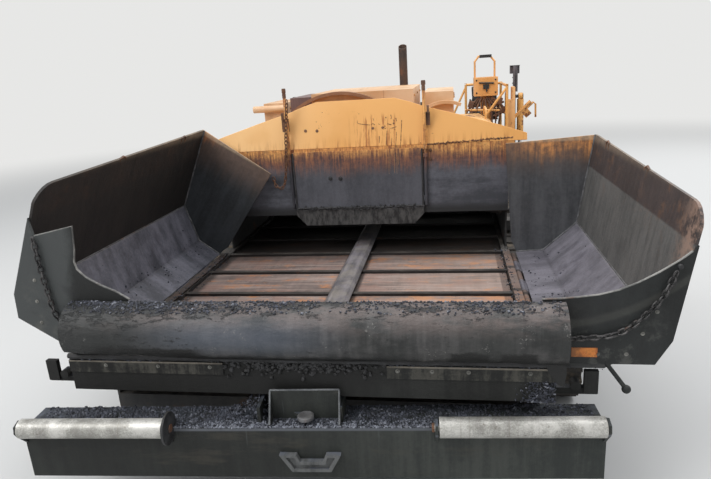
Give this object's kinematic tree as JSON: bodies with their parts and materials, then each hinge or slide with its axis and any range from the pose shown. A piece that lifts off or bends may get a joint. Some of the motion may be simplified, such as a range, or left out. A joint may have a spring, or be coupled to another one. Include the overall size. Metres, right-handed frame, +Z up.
{
  "type": "tracked asphalt paver",
  "caption": "Tracked asphalt paver with folding hopper wings, push beam with rollers, slat conveyors, augers and an extending rear screed.",
  "frame": {"origin": "on the ground under the middle of the machine, halfway along its length", "axes": "-Y towards the hopper and push beam, +Z up, +X to the right of someone who looks into the hopper"},
  "size_m": [3.206, 6.5708, 2.1469],
  "materials": {
    "dark_steel": "asphalt-blackened paint, rust at the edges",
    "wing_plate": "scoured slate-grey plate with asphalt film",
    "worn_floor": "polished floor plate with rust bloom",
    "conveyor_steel": "oily dark steel",
    "yellow_paint": "ochre yellow paint with rust streaks",
    "cylinder_paint": "ochre yellow paint, greasy",
    "rod_chrome": "hard chrome",
    "apron_plate": "grey-brown asphalt-coated plate",
    "roller_steel": "bright rolled steel with rust specks",
    "black_steel": "sooty black",
    "seat_vinyl": "black vinyl",
    "track_steel": "dusty rubber pads on steel shoes"
  },
  "bodies": {
    "machine": {"main_frame": "dark_steel", "hopper_floor": "worn_floor", "conveyor_left": "conveyor_steel", "conveyor_right": "conveyor_steel", "conveyor_divider": "conveyor_steel", "bulkhead": "dark_steel", "bulkhead_hood": "yellow_paint", "apron": "apron_plate", "nose_panel": "dark_steel", "engine_cover": "yellow_paint", "cover_boxes": "yellow_paint", "radiator_grille": "black_steel", "exhaust_stack": "black_steel", "engine_block": "black_steel", "operator_deck": "dark_steel", "operator_console": "yellow_paint", "seat_left": "seat_vinyl", "seat_right": "seat_vinyl", "deck_rails": "yellow_paint", "work_lamp": "black_steel", "boarding_steps": "dark_steel", "track_left": "track_steel", "track_right": "track_steel", "track_frame_left": "dark_steel", "track_frame_right": "dark_steel", "auger_drive_case": "dark_steel"},
    "gate": {"flow_gate": "dark_steel"},
    "wing_left": {"wing_pan_left": "wing_plate", "wing_rear_left": "dark_steel", "wing_front_left": "dark_steel"},
    "wing_right": {"wing_pan_right": "wing_plate", "wing_rear_right": "dark_steel", "wing_front_right": "dark_steel"},
    "wing_barrel_left": {"wing_barrel_left": "cylinder_paint"},
    "wing_rod_left": {"wing_rod_left": "rod_chrome"},
    "wing_barrel_right": {"wing_barrel_right": "cylinder_paint"},
    "wing_rod_right": {"wing_rod_right": "rod_chrome"},
    "push_beam": {"push_beam": "dark_steel"},
    "push_roller_left": {"push_roller_left": "roller_steel"},
    "push_roller_right": {"push_roller_right": "roller_steel"},
    "engine_door_left": {"engine_door_left": "yellow_paint"},
    "engine_door_right": {"engine_door_right": "yellow_paint"},
    "auger_left": {"auger_left": "conveyor_steel"},
    "auger_right": {"auger_right": "conveyor_steel"},
    "screed": {"tow_arm_left": "yellow_paint", "tow_arm_right": "yellow_paint", "screed_body": "dark_steel", "screed_walkway": "dark_steel"},
    "extender_left": {"extender_left": "dark_steel"},
    "extender_right": {"extender_right": "dark_steel"},
    "lift_barrel_left": {"lift_barrel_left": "cylinder_paint"},
    "lift_rod_left": {"lift_rod_left": "rod_chrome"},
    "lift_barrel_right": {"lift_barrel_right": "cylinder_paint"},
    "lift_rod_right": {"lift_rod_right": "rod_chrome"}
  },
  "joints": [
    {"name": "gate_slide", "type": "slide", "parent": "machine", "child": "gate", "axis": [0, 0, 1], "range_m": [-0.14, 0.24]},
    {"name": "wing_left", "type": "hinge", "parent": "machine", "child": "wing_left", "pos_m": [-1.075, -2, 0.642], "axis": [0, 1, 0], "range_deg": [-32.3, 22.7]},
    {"name": "wing_barrel_left", "type": "hinge", "parent": "machine", "child": "wing_barrel_left", "pos_m": [-0.5, -1.049, 1.01], "axis": [0, 1, 0], "range_deg": [-8.93, 6.28]},
    {"name": "wing_rod_left", "type": "slide", "parent": "wing_barrel_left", "child": "wing_rod_left", "axis": [-0.9995, 0, 0.0316], "range_m": [-0.1445, 0.2056]},
    {"name": "wing_right", "type": "hinge", "parent": "machine", "child": "wing_right", "pos_m": [1.075, -2, 0.642], "axis": [0, -1, 0], "range_deg": [0, 55]},
    {"name": "wing_barrel_right", "type": "hinge", "parent": "machine", "child": "wing_barrel_right", "pos_m": [0.5, -1.049, 1.01], "axis": [0, -1, 0], "range_deg": [0, 15.97]},
    {"name": "wing_rod_right", "type": "slide", "parent": "wing_barrel_right", "child": "wing_rod_right", "axis": [0.9898, 0, -0.1422], "range_m": [-0.336, 0]},
    {"name": "push_beam_swing", "type": "hinge", "parent": "machine", "child": "push_beam", "pos_m": [0, -2.825, 0.38], "axis": [0, 0, 1], "range_deg": [-8.35, 0.65]},
    {"name": "push_roller_left", "type": "hinge", "parent": "push_beam", "child": "push_roller_left", "pos_m": [-0.88132, -3.23711, 0.538], "axis": [0.9977, 0.0671, 0], "continuous": true},
    {"name": "push_roller_right", "type": "hinge", "parent": "push_beam", "child": "push_roller_right", "pos_m": [0.92859, -3.11531, 0.538], "axis": [0.9977, 0.0671, 0], "continuous": true},
    {"name": "engine_door_left", "type": "hinge", "parent": "machine", "child": "engine_door_left", "pos_m": [-1.055, 0, 1.35], "axis": [0, 1, 0], "range_deg": [0, 85]},
    {"name": "engine_door_right", "type": "hinge", "parent": "machine", "child": "engine_door_right", "pos_m": [1.055, 0, 1.35], "axis": [0, -1, 0], "range_deg": [0, 85]},
    {"name": "auger_left", "type": "hinge", "parent": "machine", "child": "auger_left", "pos_m": [-0.7, 1.94, 0.56], "axis": [1, 0, 0], "continuous": true},
    {"name": "auger_right", "type": "hinge", "parent": "machine", "child": "auger_right", "pos_m": [0.7, 1.94, 0.56], "axis": [1, 0, 0], "continuous": true},
    {"name": "screed_lift", "type": "hinge", "parent": "machine", "child": "screed", "pos_m": [0, -0.42, 0.66], "axis": [1, 0, 0], "range_deg": [-1.9, 7]},
    {"name": "lift_barrel_left", "type": "hinge", "parent": "machine", "child": "lift_barrel_left", "pos_m": [-1.415, 1.6, 1.56], "axis": [1, 0, 0], "range_deg": [-2.89, 0.82]},
    {"name": "lift_rod_left", "type": "slide", "parent": "lift_barrel_left", "child": "lift_rod_left", "axis": [0, 0, -1], "range_m": [-0.2456, 0.067]},
    {"name": "lift_barrel_right", "type": "hinge", "parent": "machine", "child": "lift_barrel_right", "pos_m": [1.415, 1.6, 1.56], "axis": [1, 0, 0], "range_deg": [-2.89, 0.82]},
    {"name": "lift_rod_right", "type": "slide", "parent": "lift_barrel_right", "child": "lift_rod_right", "axis": [0, 0, -1], "range_m": [-0.2456, 0.067]},
    {"name": "extender_left", "type": "slide", "parent": "screed", "child": "extender_left", "axis": [-1, 0, 0], "range_m": [-0.13, 0.6]},
    {"name": "extender_right", "type": "slide", "parent": "screed", "child": "extender_right", "axis": [1, 0, 0], "range_m": [-0.13, 0.6]}
  ],
  "couplings": [
    {"joint": "wing_barrel_left", "follows": "wing_left", "ratio": 0.27635},
    {"joint": "wing_rod_left", "follows": "wing_left", "m_per_rad": -0.3644},
    {"joint": "wing_barrel_right", "follows": "wing_right", "ratio": 0.29018},
    {"joint": "wing_rod_right", "follows": "wing_right", "m_per_rad": -0.34989},
    {"joint": "lift_barrel_left", "follows": "screed_lift", "ratio": -0.40543},
    {"joint": "lift_rod_left", "follows": "screed_lift", "m_per_rad": -2.006},
    {"joint": "lift_barrel_right", "follows": "screed_lift", "ratio": -0.40543},
    {"joint": "lift_rod_right", "follows": "screed_lift", "m_per_rad": -2.006}
  ]
}
